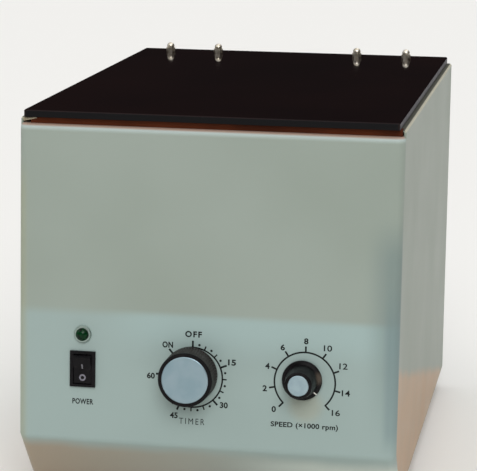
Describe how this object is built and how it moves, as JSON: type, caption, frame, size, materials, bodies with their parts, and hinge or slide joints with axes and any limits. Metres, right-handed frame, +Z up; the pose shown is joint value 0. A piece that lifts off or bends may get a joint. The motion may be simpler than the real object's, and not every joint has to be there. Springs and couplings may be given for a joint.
{
  "type": "benchtop centrifuge",
  "caption": "Small high-speed tube centrifuge: enamelled sheet-steel case, sloping kick panel, hinged smoked acrylic lid, angle rotor, timer and speed knobs, rocker switch.",
  "frame": {"origin": "on the bench, under the middle of the closed machine's length and width", "axes": "+X to the right of someone facing the controls, +Y from the front to the back, +Z up"},
  "size_m": [0.22, 0.3402, 0.2414],
  "materials": {
    "enamel": "gloss",
    "seal_rubber": "matte",
    "black_rubber": "matte",
    "stainless": "satin",
    "plated_steel": "satin",
    "bright_nickel": "polished",
    "cast_alloy": "as cast",
    "anodised_alloy": "anodised",
    "can_paint": "satin",
    "lamination": "satin",
    "copper": "satin",
    "carbon": "matte",
    "smoked_acrylic": "polished",
    "black_plastic": "gloss",
    "black_knob": "satin",
    "silver_disc": "satin",
    "green_lens": "gloss",
    "board_laminate": "satin",
    "component_case": "matte",
    "wire_cover": "satin",
    "fan_alloy": "satin"
  },
  "bodies": {
    "case": {"front_panel": "enamel", "side_panel_left": "enamel", "side_panel_right": "enamel", "rear_panel": "enamel", "base_plate": "enamel", "top_deck": "enamel", "lid_front_seal": "seal_rubber", "chamber_bowl": "stainless", "chamber_mouth_trim": "black_rubber", "shaft_gland": "black_rubber", "motor_plate": "plated_steel", "shock_mounts": "black_rubber", "motor_end_bell_lower": "cast_alloy", "motor_can": "can_paint", "motor_end_bell_upper": "cast_alloy", "motor_stator": "lamination", "motor_windings": "copper", "motor_bearings": "plated_steel", "brush_holders": "black_plastic", "carbon_brushes": "carbon", "hinge_fixed_leaves": "plated_steel", "hinge_pins": "plated_steel", "switch_housing": "black_plastic", "lamp_bezel": "bright_nickel", "lamp_lens": "green_lens", "timer_body": "plated_steel", "timer_nut": "plated_steel", "speed_pot_body": "plated_steel", "speed_pot_nut": "plated_steel", "mains_inlet_body": "black_plastic", "mains_inlet_pins": "bright_nickel", "fuse_holder": "black_plastic", "fuse_cap": "black_plastic", "panel_screws": "plated_steel", "rubber_feet": "black_rubber", "foot_screws": "plated_steel", "control_bracket": "plated_steel", "control_board": "board_laminate", "board_heatsink": "anodised_alloy", "board_components": "component_case", "wiring_mains": "wire_cover", "wiring_controls": "wire_cover"},
    "lid": {"lid_plate": "smoked_acrylic", "hinge_lid_leaves": "plated_steel", "lid_screws": "plated_steel", "lid_acorn_nuts": "bright_nickel"},
    "rocker": {"power_rocker": "black_plastic"},
    "timer_dial": {"timer_knob": "black_knob", "timer_knob_cap": "silver_disc", "timer_shaft": "plated_steel"},
    "speed_dial": {"speed_knob": "black_knob", "speed_knob_cap": "silver_disc", "speed_shaft": "plated_steel"},
    "spindle": {"motor_shaft": "plated_steel", "commutator": "copper", "armature": "lamination", "cooling_fan": "fan_alloy", "rotor_head": "anodised_alloy", "rotor_nut": "bright_nickel"}
  },
  "joints": [
    {"name": "lid_hinge", "type": "hinge", "parent": "case", "child": "lid", "pos_m": [0, 0.1661, 0.2277], "axis": [-1, 0, 0], "range_deg": [0, 100]},
    {"name": "rocker_tilt", "type": "hinge", "parent": "case", "child": "rocker", "pos_m": [-0.0715, -0.15175, 0.08709], "axis": [-1, 0, 0], "range_deg": [0, 24]},
    {"name": "timer_turn", "type": "hinge", "parent": "case", "child": "timer_dial", "pos_m": [-0.0082, -0.15271, 0.08784], "axis": [0, 0.9986, -0.0523], "range_deg": [-38.6, 260]},
    {"name": "speed_turn", "type": "hinge", "parent": "case", "child": "speed_dial", "pos_m": [0.0561, -0.15269, 0.08824], "axis": [0, 0.9986, -0.0523], "range_deg": [-274, 4]},
    {"name": "rotor_spin", "type": "hinge", "parent": "case", "child": "spindle", "pos_m": [0, 0.01, 0.1], "axis": [0, 0, 1], "continuous": true}
  ]
}
